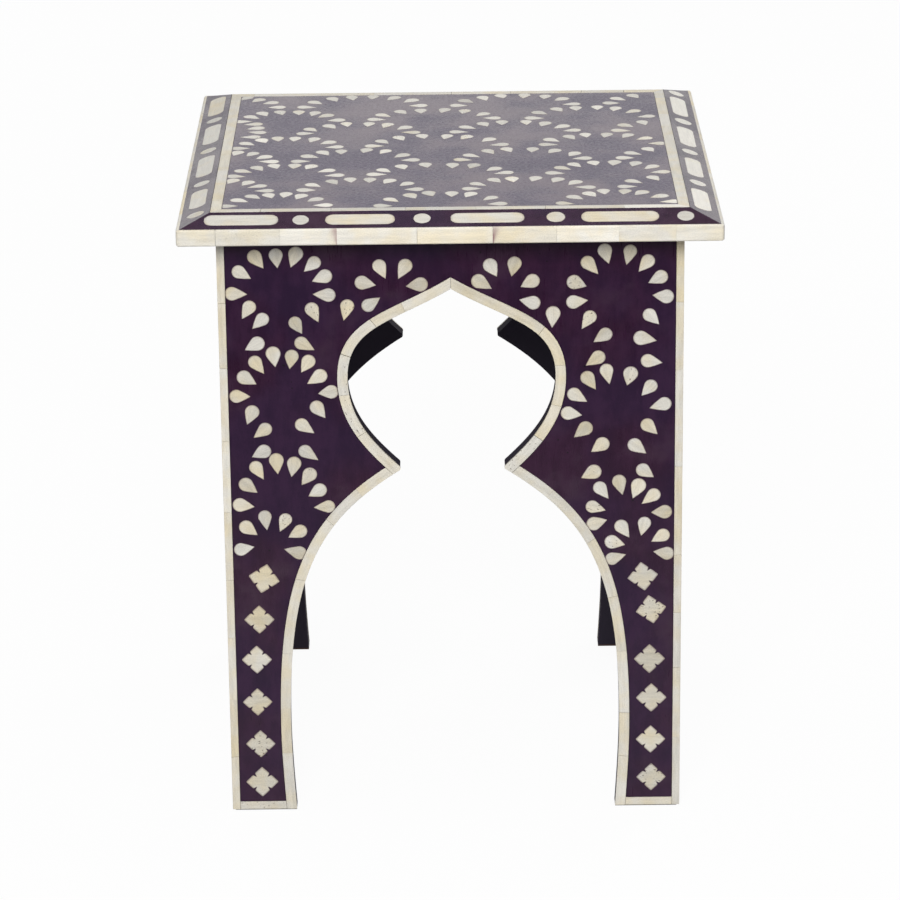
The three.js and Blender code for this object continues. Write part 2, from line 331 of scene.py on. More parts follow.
paintLook = {
    "paint": (60, 55, 66), "worn": (74, 69, 76), "raw": (104, 74, 52), "edge": (66, 40, 34),
    "thin": (160.6 * mm, 162.2 * mm),  # from the middle, where the paint begins and ends to thin
    "roughness": (0.46, 0.62),
    "settings": {"Specular IOR Level": 0.012},
    "bumps": {"Strength": 0.5, "Distance": 0.12 * mm},
    "patterns": {
        "brush": (90, 4, 0.65, (1, 1, 0.1)),
        "blotches": (18, 3, 0.6), "grain": (600, 2, 0.6, (1, 1, 0.08)),
    },
}


def makePaintGroup():
    # Brush marks lie along the grain. Below the sole height the wood is bare, and it shows brown
    # through the thin paint right behind the bone.
    inputs = {"Place": "Vector", "Sole": "Float", "Thinness": "Float"}
    group, start = startGroup("brushedPaint", inputs)
    brush, blotches, grain = noises(start["Place"], paintLook["patterns"])
    worn = times(remap(brush, 0.55, 0.75), remap(blotches, 0.5, 0.7))
    color = mixColours(worn, paintLook["paint"], paintLook["worn"])
    x, y, z = addNode("SeparateXYZ", {0: start["Place"]})
    raw = mixColours(grain, paintLook["raw"], paintLook["worn"])
    color = mixColours(calculate("LESS_THAN", z, start["Sole"]), color, raw)
    outward = calculate("MAXIMUM", calculate("ABSOLUTE", x), calculate("ABSOLUTE", y))
    thin = remap(outward, *paintLook["thin"], 0.0, 0.7)
    color = mixColours(times(thin, start["Thinness"]), color, paintLook["edge"])
    rough = remap(blotches, 0.3, 0.7, *paintLook["roughness"])
    return endGroup(group, color, rough, plus(brush, times(grain, 0.5)))


steelLook = {"dark": (150, 148, 142), "light": (196, 194, 188), "marks": 900}


def makeSteel():
    material, shader = startMaterial("screwSteel", {"Metallic": 1.0})
    marks = noise(addNode("TexCoord", {}, material.node_tree)["Object"], steelLook["marks"])
    color = mixColours(marks, steelLook["dark"], steelLook["light"])
    fill(shader, {"Base Color": color, "Roughness": remap(marks, 0.3, 0.7, 0.3, 0.5)})
    return material


bone = makeBone()
resinGroup = makeResinGroup()
topResin, bevelResin, sideResin = (
    makeFinish(f"{place}Resin", resinGroup, resinLook["bumps"], *resinLook[place])
    for place in ("top", "bevel", "side")
)
paintGroup = makePaintGroup()
boardPaint, panelPaint = (
    makeFinish(name, paintGroup, paintLook["bumps"], paintLook["settings"], {"Sole": sole, "Thinness": thin})
    for name, sole, thin in (("boardPaint", 0, 0), ("panelPaint", soleHeight, 1))
)
steel = makeSteel()
print("finishes: bone, resin, black paint, steel")

# The CAD pieces that stay take the first finish whose words their names hold

finishes = {
    "top_bevel_resin": bevelResin, "_resin": sideResin,
    "corner_screw": steel, "corner_block": boardPaint, "top_board": boardPaint,
}
for name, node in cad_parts.items():
    finish = next((finishes[words] for words in finishes if words in name), None)
    if finish:
        node.data.materials.clear()
        node.data.materials.append(finish)
print("frame: resin, board, blocks and screws finished")

# Bone tiles: a section carried along a path, cut into short lengths

tiles = {
    "ease": 0.15 * mm, "length": 50 * mm, "lengthSpread": 11 * mm,
    "skew": 0.05, "gapShares": (0.4, 1.6),
    "stainReach": 3.2 * mm, "stainShares": (0.15, 1.2),
    "overrun": 12 * mm,  # how far a path goes on past each end
    "tone": [0, -0.15, 0], "toneSpread": (0.4, 0.4),
}


def straightPath(start, end, across):
    start, end = np.array(start, float), np.array(end, float)
    past = unit(end - start) * tiles["overrun"]
    return {"points": np.array([start - past, start, end, end + past]), "across": across}


def distancesOf(points):
    # How far each point lies along the line through all of them.
    return np.concatenate([[0.0], np.cumsum(np.linalg.norm(np.diff(points, axis=0), axis=1))])


def crossings(curves, distances, plane, last):
    # How far along each curve it first or last goes through a plane, given as a point and a normal.
    side = (curves - plane[0]) @ plane[1]
    changes = side[:, :-1] * side[:, 1:] <= 0
    found = changes.shape[1] - 1 - changes[:, ::-1].argmax(1) if last else changes.argmax(1)
    rows = np.arange(len(side))
    before, after = side[rows, found], side[rows, found + 1]
    share = before / (before - after)
    return distances[found] + share * (distances[found + 1] - distances[found])


def tileGrid(path, out, section, planes, joints, gapShares, rowCount, rounding, rng):
    # Point (tile, row, corner) = path(distance) + across * corner's first + out * corner's second.
    # A tile's rows crowd towards its ends as a cosine does.
    distances = distancesOf(path["points"])
    curves = path["points"] + section[:, :1, None] * path["across"] + section[:, 1:, None] * out
    first = crossings(curves, distances, planes[0], False) + rounding
    final = crossings(curves, distances, planes[1], True)
    joints = joints[:, None] + rng.normal(0, tiles["skew"], len(joints))[:, None] * section[:, 0]
    shares = rng.uniform(*tiles["gapShares"], len(joints))
    gap = boneGap / 2 * np.array(shares if gapShares is None else gapShares)[:, None]
    starts, ends = np.vstack([first, joints + gap]), np.vstack([joints - gap, final])
    share = (1 - np.cos(np.linspace(0, np.pi, rowCount))) / 2
    along = starts[:, None] + share[:, None] * (ends - starts)[:, None]
    index = np.clip(np.searchsorted(distances, along, side="right") - 1, 0, len(distances) - 2)
    within = (along - distances[index]) / (distances[index + 1] - distances[index])
    corner = np.broadcast_to(np.arange(len(section)), along.shape)
    before, after = curves[corner, index], curves[corner, index + 1]
    return before + (after - before) * within[..., None], along, starts, ends


def tileFaces(shape):
    # Walls run from row to row. An end is closed by a ladder of faces from the section's first half
    # of corners to its second half.
    ids = np.arange(np.prod(shape)).reshape(shape)
    after = np.roll(ids, -1, axis=2)
    walls = np.stack([ids[:, :-1], ids[:, 1:], after[:, 1:], after[:, :-1]], -1).reshape(-1, 4)
    last = shape[2] - 1
    step = np.arange(last // 2)
    rung = np.stack([step, step + 1, last - 1 - step, last - step], -1)
    caps = np.concatenate([ids[:, 0][:, rung], ids[:, -1][:, rung[:, ::-1]]]).reshape(-1, 4)
    return [walls, caps]


def randomTones(count, rng, look):
    # Lightness and warmth scatter about the look's tone. The third number is the piece's own.
    light, warmth = (rng.normal(0, spread, count) for spread in look["toneSpread"])
    return np.stack([light, warmth, rng.random(count)], -1) + look["tone"]


def tileRow(
    name, replaced, path, out, section, planes, joints, seed, quarter,
    gaps=None, rowCount=12, rounding=0.0, tones=None, stains=None, reshape=None,
):
    rng = np.random.default_rng(seed)
    points, along, starts, ends = tileGrid(
        path, out, section, planes, joints, gaps, rowCount, rounding, rng
    )
    count = len(points)
    if tones is None:
        tones = randomTones(count, rng, tiles)
    else:
        tones = np.column_stack([tones, rng.random(count)])
    marks = np.zeros((count + 1, 1, 1))
    for joint, strength in (stains or {}).items():
        marks[joint] = strength
    # A stain fades away from its joint, sooner low on the tile than high.
    out = section[:, 1]
    reach = tiles["stainReach"] * np.interp(out, [out.min(), out.max()], tiles["stainShares"])
    before = np.exp(-(((along - starts[:, None]) / reach) ** 2))
    after = np.exp(-(((ends[:, None] - along) / reach) ** 2))
    stain = before * marks[:-1].clip(0) + after * (-marks[1:]).clip(0)
    if reshape:
        points = reshape(points)
    uv = np.stack([along, np.broadcast_to(distancesOf(section), along.shape)], -1)
    attributes = {"tone": tones[:, None, None], "stain": stain[..., None]}
    faces = tileFaces(along.shape)
    addPiece(name, turned(points, quarter), faces, bone, replaced, uv, attributes)


def stripSection(width):
    # A flat strip with its two upper corners eased.
    ease, back = tiles["ease"], -inlayThickness
    face = [[0, -ease], [ease, 0], [width - ease, 0], [width, -ease]]
    return np.array([[0, back], *face, [width, back]])


def randomJoints(path, rng):
    # Distances of the joints along a path's row of tiles.
    total = distancesOf(path["points"])[-1] - 2 * tiles["overrun"]
    count = max(1, round(total / tiles["length"]))
    even = tiles["overrun"] + np.arange(1, count) * total / count
    return even + rng.uniform(-1, 1, count - 1) * tiles["lengthSpread"]


# The arch, drawn as on the panel: four curves from the foot up to the point

arch = {
    "footWidth": 47.3 * mm, "legWidth": 44.4 * mm, "legNarrowHeight": 67.3 * mm,
    "cuspGap": 72 * mm, "lobeWidth": 147.6 * mm,
    "crownHeight": 40.6 * mm, "lobeDrop": 65.6 * mm, "cuspDrop": 133.8 * mm,
    "stripWidth": 7.3 * mm, "tipRound": 1.9 * mm, "tipSteps": 9,
    "tipShares": [0.25, 0.5, 0.8, 1.1],  # where the strip's rubbed start has points, in radii
    "woodShy": 0.2 * mm,  # how far the wood lies behind the bone's edge
    "handleShares": [
        [[0.557, 0.359], [1, 0.708]], [[0, 0.605], [0.281, 0.81]],
        [[0.588, 0.306], [1, 0.575]], [[0, 0.587], [0.434, 0.628]],
    ],
    "steps": 60,
}
archTop = bodyTop - arch["crownHeight"]
archStations = np.array([
    [facePlane - arch["footWidth"], 0],
    [facePlane - arch["legWidth"], arch["legNarrowHeight"]],
    [arch["cuspGap"] / 2, archTop - arch["cuspDrop"]],
    [arch["lobeWidth"] / 2, archTop - arch["lobeDrop"]],
    [0, archTop],
])
archKept = arch["stripWidth"] + boneGap  # what the arch's strip and its joint take up


def archHalf(first=0, last=3):
    # Cubic curves joined end to end, with the direction of travel at every point.
    t = np.linspace(0, 1, arch["steps"])[:, None]
    points, ways = [], []
    for curve in range(first, last + 1):
        start, end = archStations[curve], archStations[curve + 1]
        near, far = start + (end - start) * np.array(arch["handleShares"][curve])
        corners = np.array([start, near, far, end])
        place = np.hstack([(1 - t) ** 3, 3 * (1 - t) ** 2 * t, 3 * (1 - t) * t**2, t**3]) @ corners
        way = np.hstack([(1 - t) ** 2, 2 * (1 - t) * t, t**2]) @ np.diff(corners, axis=0)
        fresh = int(curve > first)
        points.append(place[fresh:])
        ways.append(way[fresh:])
    return np.vstack(points), unit(np.vstack(ways))


def inFace(flat, depth=0.0):
    # Across and up on the front become X, Y and Z.
    return np.stack([flat[..., 0], np.full(flat.shape[:-1], depth), flat[..., 1]], -1)


def archPath(first, last, hand):
    points, ways = archHalf(first, last)
    past = tiles["overrun"]
    points = np.vstack([points[0] - ways[0] * past, points, points[-1] + ways[-1] * past])
    ways = np.vstack([ways[0], ways, ways[-1]])
    inward = np.stack([ways[:, 1], -ways[:, 0]], -1)
    return {"points": inFace(points * [hand, 1], -facePlane), "across": inFace(inward * [hand, 1])}


# the heights of the front's joints
frontJoints = {
    "arch_upper": {-1: [294, 322, 350, 372, 383], 1: [290, 313, 342, 365]},
    "arch_lower": {-1: [46, 81, 124, 181, 223, 245], 1: [41, 75, 123, 165, 207, 243]},
    "border": {-1: [43, 89, 137, 182, 234, 288, 343, 391], 1: [55, 110, 153, 198, 265, 338, 388]},
    "foot": {-1: [], 1: []},
}
# the front's upper joints as shares of a usual gap
upperGaps = {-1: [1.0, 0.9, 2.6, 1.5, 0.8], 1: [2.0, 1.0, 0.9, 1.3]}


def jointsOf(kind, hand, side, path, rng):
    # The front's joints are heights. Another side's fall as they come. A foot strip has none.
    if side == "front" or kind == "foot":
        heights = np.array(frontJoints[kind][hand]) * mm
        return np.interp(heights, path["points"][:, 2], distancesOf(path["points"]))
    return randomJoints(path, rng)


def archTip():
    # The arch's inward tip: its number among the points, the ways along the arch from it, half the
    # angle between them, and how far from it a rubbed circle touches.
    points = archHalf()[0]
    tip = 2 * (arch["steps"] - 1)
    before, beyond = unit(points[[tip - 2, tip + 2]] - points[tip])
    halfAngle = np.arccos(before @ beyond) / 2
    return points, tip, before, beyond, halfAngle, arch["tipRound"] / np.tan(halfAngle)


def tipStart(section):
    # The upper strip starts at the arch's inward tip, which is rubbed round: the start moves from
    # the line of the lower curve to the circle that touches both curves.
    tipRound = arch["tipRound"]
    halfAngle, touches = archTip()[4:]
    across = tipRound * np.array(arch["tipShares"])
    facing = np.vstack([section[1:3], np.column_stack([across, across * 0]), section[3:5]])
    behind = np.column_stack([facing[::-1, 0], np.full(len(facing), -inlayThickness)])
    tipSection = np.vstack([facing, behind])
    high = np.minimum(tipSection[:, 0], touches * np.sin(2 * halfAngle))
    circle = touches - np.sqrt(tipRound**2 - (tipRound - high) ** 2)
    return tipSection, np.maximum(circle - high / np.tan(2 * halfAngle), 0)


def alongside(path):
    # The plane along the inner edge of an arch strip, where it starts.
    return path["points"][1] + path["across"][1] * archKept, path["across"][1]


def makeSideStrips(side, quarter):
    section = stripSection(arch["stripWidth"])
    tipSection, rounding = tipStart(section)
    # The border's outer edge is mitred to the next side's, with a fine gap.
    edge, face, sole = facePlane - boneGap / 2, -facePlane, soleHeight
    mitred = stripSection(edge - borderInner)
    mitred[:2, 0] += [inlayThickness, tiles["ease"]]
    footSection = stripSection(footTop - sole)
    bottom, top = ([0, 0, sole], upwards), ([0, 0, bodyTop], upwards)
    for hand in (-1, 1):
        seed = 100 * quarter + 10 * (hand + 1)
        rng = np.random.default_rng(seed)
        upper, lower = archPath(2, 3, hand), archPath(0, 1, hand)
        border = straightPath([hand * edge, face, 0], [hand * edge, face, bodyTop], [-hand, 0, 0])
        # The foot tile fills the leg's bottom between the border and the arch's strip.
        footStart = [hand * (borderInner - boneGap), face, sole]
        foot = straightPath(footStart, [0, face, sole], upwards)
        middle = ([hand * boneGap / 2, 0, 0], [1, 0, 0])
        # every row's path and section, and the planes it starts and ends at
        rows = {
            "arch_upper": (upper, tipSection, (upper["points"][1], lower["across"][-1]), middle),
            "arch_lower": (lower, section, bottom, alongside(upper)),
            "border": (border, mitred, bottom, top),
            "foot": (foot, footSection, (footStart, [1, 0, 0]), alongside(lower)),
        }
        for order, (kind, (path, cut, *planes)) in enumerate(rows.items()):
            joints = jointsOf(kind, hand, side, path, rng)
            gaps = upperGaps[hand] if (side, kind) == ("front", "arch_upper") else None
            start = rounding if kind == "arch_upper" else 0
            name, replaced = (f"{side}_{kind}_{word}_{handNames[hand]}" for word in ("tiles", "strip"))
            tileRow(
                name, [replaced], path, outwards, cut, planes, joints, seed + order + 1, quarter,
                gaps, rounding=start,
            )


onEverySide(makeSideStrips)
print("sides: bone strips along the arches, borders and feet")

# The wooden panels, whose inward tips are rubbed round like the bone's


def roundedArch():
    # Half the arch with its tip replaced by an arc that touches both curves. A point of the arc
    # is the circle's middle + the two touching rays in sine shares of the turn.
    points, tip, before, beyond, halfAngle, reach = archTip()
    order, corner = np.arange(len(points)), points[tip]
    middle = corner + unit(before + beyond) * arch["tipRound"] / np.sin(halfAngle)
    turn = np.pi - 2 * halfAngle
    share = np.linspace(0, 1, arch["tipSteps"])[:, None]
    near, far = corner + before * reach - middle, corner + beyond * reach - middle
    arc = middle + (np.sin((1 - share) * turn) * near + np.sin(share * turn) * far) / np.sin(turn)
    clear = lengthOf(points - corner)[:, 0] > reach
    return np.vstack([points[clear & (order < tip)], arc, points[clear & (order > tip)]])


def makePanel(side, quarter):
    # Two flat outlines joined by walls. The outline runs up one half of the arch, down the other and
    # round the outer edge, which has a point at each height of the arch.
    half = roundedArch()
    count = len(half)
    x, z = half.T
    x[:-1] += arch["woodShy"]
    up = np.concatenate([z, z[-2::-1], z, [bodyTop] * 2, z[::-1]])
    layers = []
    for depth in (woodPlane, panelBack):
        outer = panelEdge + depth - woodPlane
        across = np.concatenate([x, -x[-2::-1], [-outer] * (count + 1), [outer] * (count + 1)])
        layers.append(inFace(np.stack([across, up], -1), -depth))
    right = np.arange(count)
    left, leftEdge, rightEdge = 2 * count - 2 - right, 2 * count - 1 + right, 4 * count - right
    crown, leftTop, rightTop = count - 1, 3 * count - 1, 3 * count
    rows = np.vstack([
        np.stack([right[:-1], right[1:], rightEdge[1:], rightEdge[:-1]], -1),
        np.stack([left[1:], left[:-1], leftEdge[:-1], leftEdge[1:]], -1),
    ])
    above = np.array([
        [crown, leftEdge[-1], leftTop], [crown, leftTop, rightTop], [crown, rightTop, rightEdge[-1]],
    ])
    ring = np.arange(len(up))
    after = np.roll(ring, -1)
    walls = np.stack([after, ring, ring + len(up), after + len(up)], -1)
    blocks = [rows, rows[:, ::-1] + len(up), above, above[:, ::-1] + len(up), walls]
    points = turned(np.stack(layers), quarter)
    addPiece(f"{side}_panel_rubbed", points, blocks, panelPaint, [f"{side}_panel"])


onEverySide(makePanel)
print("sides: wooden panels")

# The bone round the top

topBone = {
    "cornerRound": 2.6 * mm, "edgingEase": 0.8 * mm, "faceSag": 0.04 * mm,
    "fullShares": (0.35, 0.65),  # heights on the edging's face between which it is fullest
    "stringingWidth": stringingEdge - fieldEdge - glueLine,
    # The front's rows from left to right: joints, lightness and warmth of the tiles, gaps as shares
    # of a usual one, and joints with a stain on their right, or left where it is negative.
    "edging": {
        "joints": [-163, -118, -78.7, -22.8, 29.4, 73.9, 117, 156.7],
        "tones": [
            [0.4, -0.2], [0.2, -0.4], [1.4, -0.5], [1.2, -0.3], [1.6, 0.0],
            [0.9, 0.2], [1.9, -0.6], [0.8, -0.3], [1.0, -0.2],
        ],
        "gaps": [1.1, 0.4, 0.1, 0.9, 0.9, 0.5, 0.35, 0.35],
        "stains": {3: -0.7, 5: 1.0},
    },
    "stringing": {
        "joints": [-132, -83, -31, 18.3, 67.2, 121.7],
        "tones": [
            [-0.5, -0.3], [-0.6, -0.4], [-1.2, -0.8], [-0.8, -0.4], [-0.1, -0.2], [-0.2, -0.2], [2.2, -0.8],
        ],
    },
}


def roundCorners(points):
    # Past the corner's centre the square outline becomes a circle: the larger of the two
    # distances from that centre is kept as the radius.
    centre = halfWidth - topBone["cornerRound"]
    plan = points[..., :2]
    past = np.abs(plan) - centre
    both = (past > 0).all(-1, keepdims=True)
    pulled = past * past.max(-1, keepdims=True) / np.maximum(lengthOf(past), 1e-9)
    rounded = np.sign(plan) * (centre + np.where(both, pulled, past))
    return np.concatenate([rounded, points[..., 2:]], -1)


def makeTopStrips(side, quarter):
    rng = np.random.default_rng(40 + quarter)
    mitres = ([boneGap / 2, 0, 0], [1, -1, 0]), ([-boneGap / 2, 0, 0], [1, 1, 0])
    half, width, ease = halfWidth, topBone["stringingWidth"], topBone["edgingEase"]
    high, wide = bevelFoot - bodyTop, half - edgingEdge
    # Four points up the outer face, a little fuller in the middle, let a stain change with height.
    drawnIn = wide - topBone["faceSag"]
    full = [[wide, share * high] for share in topBone["fullShares"]]
    face = [[drawnIn, ease], *full, [drawnIn, high - ease]]
    edging = np.array([[0, 0], [wide - ease, 0], *face, [wide - ease, high], [0, high]])
    # every row's line, height and section
    rows = {
        "edging": (edgingEdge, bodyTop, edging),
        "stringing": (stringingEdge - width, topHeight, stripSection(width)),
    }
    for order, (kind, (line, height, section)) in enumerate(rows.items()):
        path = straightPath([-half, -line, height], [half, -line, height], outwards)
        joints = randomJoints(path, rng)
        options = {"reshape": roundCorners, "rowCount": 24} if kind == "edging" else {}
        if side == "front":
            options.update(topBone[kind])
            joints = half + tiles["overrun"] + np.array(options.pop("joints")) * mm
        name, seed = f"top_{kind}_tiles_{side}", 50 + 10 * order + quarter
        replaced = [f"top_{kind}_{side}"]
        tileRow(name, replaced, path, upwards, section, mitres, joints, seed, quarter, **options)


onEverySide(makeTopStrips)
print("top: bone edging and stringing")

# Inlaid pieces: an outline on a face, from its back up to a front eased a little inwards

inlays = {
    "depth": 1.2 * mm, "proud": 0.06 * mm, "ease": 0.1 * mm,
    "tone": [-0.7, 0.05, 0], "toneSpread": (0.6, 0.4),
    "spread": {"place": 0.9 * mm, "turn": 4.0},  # how the other sides differ from the front
}


def faceOf(quarter, origin, right, up, out, proud=inlays["proud"]):
    axes = turned(np.array([right, up, out], float), quarter)
    return {"origin": turned(np.array(origin, float), quarter), "axes": axes, "proud": proud}


def sideFace(quarter):
    return faceOf(quarter, (0, -facePlane, 0), (1, 0, 0), upwards, outwards)


def inlayPieces(name, face, centres, outlines, grain, grainMiddles, tones, rimShare=1.0):
    # Point (piece, step) = origin + right * across + up * up + out * height, for the back ring, the
    # front ring and the middle of the front, where its triangles meet.
    eased = outlines + unit(centres[:, None] - outlines) * inlays["ease"]
    count, steps = outlines.shape[:2]
    flat = np.concatenate([outlines, eased, centres[:, None]], 1)
    order = np.arange(2 * steps + 1)
    height = np.broadcast_to(np.where(order < steps, -inlays["depth"], face["proud"]), flat.shape[:2])
    points = face["origin"] + np.dstack([flat, height]) @ face["axes"]
    ids = np.arange(height.size).reshape(height.shape)
    back, front, middle = ids[:, :steps], ids[:, steps:-1], ids[:, -1:]
    after = np.roll(front, -1, axis=1)
    walls = np.stack([back, np.roll(back, -1, axis=1), after, front], -1).reshape(-1, 4)
    fans = np.stack([front, after, np.broadcast_to(middle, front.shape)], -1).reshape(-1, 3)
    uv = np.concatenate([grain, grain, grainMiddles[:, None]], 1)
    # The rim, 1 on the rings and 0 at the middle, darkens the edge: part glue line, part painted shade.
    attributes = {"tone": tones[:, None], "rim": rimShare * (order < 2 * steps)[:, None]}
    addPiece(name, points, [walls, fans, back[:, ::-1]], bone, (), uv, attributes)


# Teardrops

drops = {
    "radius": 5.15 * mm,
    "reach": 10.6 * mm,  # from the middle of the head to the tip
    "radiusSpread": 0.035, "reachSpread": 0.05,
    "bend": 0.35 * mm, "bulge": 0.22 * mm, "blunt": 0.05,
    "middle": 0.2,  # where the front's triangles meet, as a share of the reach
    "arcSteps": 15,
    # What keeps two drops apart: how far from its head each one's point lies, how near the two
    # points may come, and the share of what is missing that each drop moves.
    "apart": [
        (2.3 * mm, 2.3 * mm, 11.6 * mm, 0.25), (10.6 * mm, 0.0, 6 * mm, 0.5),
        (10.6 * mm, 3.5 * mm, 5 * mm, 0.5), (0.0, 0.0, 10.9 * mm, 0.25),
    ],
    "rounds": 14,
}


def direction(degrees):
    angles = np.radians(degrees)
    return np.stack([np.cos(angles), np.sin(angles)], -1)


def dropOutlines(heads, ways, rng, scale=1.0):
    # A circle round the head, and two sides that leave it as tangents, swell a little and meet at
    # a rubbed tip. The way is where the tip points, in degrees.
    def varied(key):
        return drops[key] * scale * (1 + rng.normal(0, drops[key + "Spread"], len(heads)))[:, None]

    radius, reach = varied("radius"), varied("reach")
    bend = rng.normal(0, drops["bend"], len(heads))[:, None]
    angle = np.arccos(radius / reach)
    around = angle + (2 * np.pi - 2 * angle) * np.linspace(0, 1, drops["arcSteps"])
    blunt = drops["blunt"] * reach
    half, neck = blunt * np.tan(np.pi / 2 - angle), reach - blunt
    side = (radius * np.cos(angle) + neck) / 2
    swell = (radius * np.sin(angle) + half) / 2 + drops["bulge"]
    along = np.hstack([radius * np.cos(around), side, neck, reach - blunt / 3, neck, side])
    tip = [bend / 2 - swell, bend - half, bend, bend + half, bend / 2 + swell]
    across = np.hstack([radius * np.sin(around), *tip])
    tipWay = direction(ways)[:, None]
    sideWay = tipWay[..., ::-1] * [-1, 1]
    outlines = heads[:, None] + along[..., None] * tipWay + across[..., None] * sideWay
    middle = reach * drops["middle"]
    grain = np.stack([along, across], -1)
    return outlines, heads + tipWay[:, 0] * middle, grain, np.hstack([middle, middle * 0])


def spread(heads, ways):
    # Two drops whose points are too near move apart along the line between them, each by a share of
    # the missing distance, over a few rounds.
    tipWay = direction(ways)
    others = 1 - np.eye(len(heads))[..., None]
    for _ in range(drops["rounds"]):
        for first, second, nearest, share in drops["apart"]:
            between = (heads + tipWay * first)[:, None] - (heads + tipWay * second)
            distance = np.maximum(lengthOf(between), 1e-6)
            push = between / distance * np.maximum(nearest - distance, 0) * share * others
            heads = heads + push.sum(1) - push.sum(0)
    return heads


def clipped(outlines, middles, low, high):
    # Each point outside the field moves towards its piece's middle until it is on the field's edge.
    middles = middles[:, None]
    ray = outlines - middles
    with np.errstate(divide="ignore", invalid="ignore"):
        toHigh = np.where(ray > 0, (high - middles) / ray, np.inf)
        toLow = np.where(ray < 0, (low - middles) / ray, np.inf)
    return middles + ray * np.minimum(np.minimum(toHigh, toLow).min(-1), 1.0)[..., None]


def clearOfArch(outlines, middles):
    # A point inside the arch's bone strip moves back towards its piece's middle, by the share of
    # that line's way towards the arch at which it meets the strip.
    curve = archHalf()[0]

    def toArch(points):
        folded = np.stack([np.abs(points[..., 0]), points[..., 1]], -1)
        return np.linalg.norm(folded[..., None, :] - curve, axis=-1).min(-1)

    home, near = toArch(middles)[:, None], toArch(outlines)
    share = np.where(near < archKept, (home - archKept) / np.maximum(home - near, 1e-9), 1.0)
    return middles[:, None] + (outlines - middles[:, None]) * share[..., None]


# Fans of drops on a side. A fan's drops point at its centre, each at an angle and a reach of its own.
fans = [
    ((-120, 398), [(180, 34), (151, 33), (123, 32), (95, 28), (68, 31), (42, 33), (21, 34), (-3, 34)]),
    ((-42, 400), [(166, 21), (115, 19), (59, 20), (9, 21), (-144, 20)]),
    ((-120, 319), [(175, 33), (148, 32), (124, 34), (100, 35), (77, 33), (57, 34), (33, 32), (9, 35)]),
    ((-122, 235), [(171, 31), (142, 33), (119, 38), (96, 39), (76, 37), (54, 34), (30, 31), (5, 33)]),
    ((-131, 208), [(-174, 22), (140, 23), (100, 23), (62, 23), (28, 24), (-15, 21)]),
    ((38, 395), [(151, 21), (115, 24), (73, 24), (27, 22), (-17, 21)]),
    ((118, 393), [(-173, 32), (161, 33), (131, 33), (106, 35), (76, 34), (51, 33), (25, 33), (-1, 34)]),
    ((117, 301), [(171, 35), (147, 36), (123, 38), (101, 38), (74, 36), (46, 35), (19, 36)]),
    ((124, 229), [(-164, 24), (165, 25), (132, 28), (101, 26), (68, 24), (37, 25), (4, 28)]),
    ((133, 202), [(-161, 20), (162, 20), (124, 22), (78, 21), (32, 21), (-8, 21)]),
]
# Single drops below the fans: across, up and where the tip points
singles = [
    (-142, 388, -120), (-133, 379, -137), (-137, 361, -154), (-98, 386, -66), (-110, 376, -58),
    (-106, 361, -30), (-142, 310, -115), (-133, 297, -141), (-134, 280, -157), (-96, 313, -55),
    (-107, 300, -36), (-105, 280, -35), (98, 378, -122), (109, 365, -149), (104, 348, -145),
    (140, 379, -45), (134, 362, -10), (139, 345, -8), (95, 295, -139), (107, 283, -141),
    (101, 262, -153), (139, 297, -44), (130, 282, -38), (136, 263, -38), (-73, 388, -104), (72, 381, -90),
]


def makeSideDrops(side, quarter):
    rng = np.random.default_rng(70 + quarter)
    rows = [
        (*(direction(angle) * reach + middle), angle + 180)
        for middle, spots in fans
        for angle, reach in spots
    ]
    rows = np.array(rows + singles, float)
    heads, ways = rows[:, :2] * mm, rows[:, 2]
    if side != "front":
        heads = heads + rng.normal(0, inlays["spread"]["place"], heads.shape)
        ways = ways + rng.normal(0, inlays["spread"]["turn"], len(ways))
    heads = spread(heads, ways)
    outlines, middles, grain, grainMiddles = dropOutlines(heads, ways, rng)
    edge = borderInner - boneGap
    outlines = clipped(outlines, middles, [-edge, 0], [edge, bodyTop])
    outlines = clearOfArch(outlines, middles)
    tones = randomTones(len(rows), rng, inlays)
    inlayPieces(f"{side}_drops", sideFace(quarter), middles, outlines, grain, grainMiddles, tones)


onEverySide(makeSideDrops)
print("sides: fans of bone drops")

# Quatrefoils down the legs: a diamond whose sides are notched in the middle

quatrefoils = {
    "radius": 11.3 * mm, "radiusSpread": 0.025,
    # angle from a tip, and the reach there as a share of the radius, for a quarter of the outline
    "quarterShares": [
        (0, 0.985), (3, 0.955), (17, 0.815), (32, 0.74), (38.5, 0.705), (41, 0.57),
        (45, 0.5), (49, 0.57), (51.5, 0.705), (58, 0.74), (73, 0.815), (87, 0.955),
    ],
    # middle across, middle up and turn, down the left leg and then the right
    "spots": [
        (-136.7, 183, -12), (-141, 151.3, 0), (-143.6, 120, 0), (-143.9, 86.7, 0), (-142.5, 53.5, 0),
        (-142.1, 23.2, 0), (136.4, 181.5, 8), (142.5, 155.9, 10), (141.6, 117.3, 0), (143.1, 86.7, 0),
        (142.8, 53.8, 0), (143.4, 23.6, 0),
    ],
}


def makeQuatrefoils(side, quarter):
    rng = np.random.default_rng(80 + quarter)
    rows = np.array(quatrefoils["spots"], float)
    centres, turns = rows[:, :2] * mm, rows[:, 2]
    if side != "front":
        centres = centres + rng.normal(0, inlays["spread"]["place"], centres.shape)
        turns = rng.normal(0, inlays["spread"]["turn"], len(turns))
    shares = np.array(quatrefoils["quarterShares"])
    angles = np.concatenate([shares[:, 0] + 90 * corner for corner in range(4)])
    reach = np.tile(shares[:, 1], 4) * quatrefoils["radius"]
    reach = reach * (1 + rng.normal(0, quatrefoils["radiusSpread"], (len(rows), 1)))
    flat = direction(angles + turns[:, None]) * reach[..., None]
    tones = randomTones(len(rows), rng, inlays)
    outlines = centres[:, None] + flat
    inlayPieces(f"{side}_quatrefoils", sideFace(quarter), centres, outlines, flat, centres * 0, tones)


onEverySide(makeQuatrefoils)
print("sides: quatrefoils on the legs")

# Bars and dots on the bevels

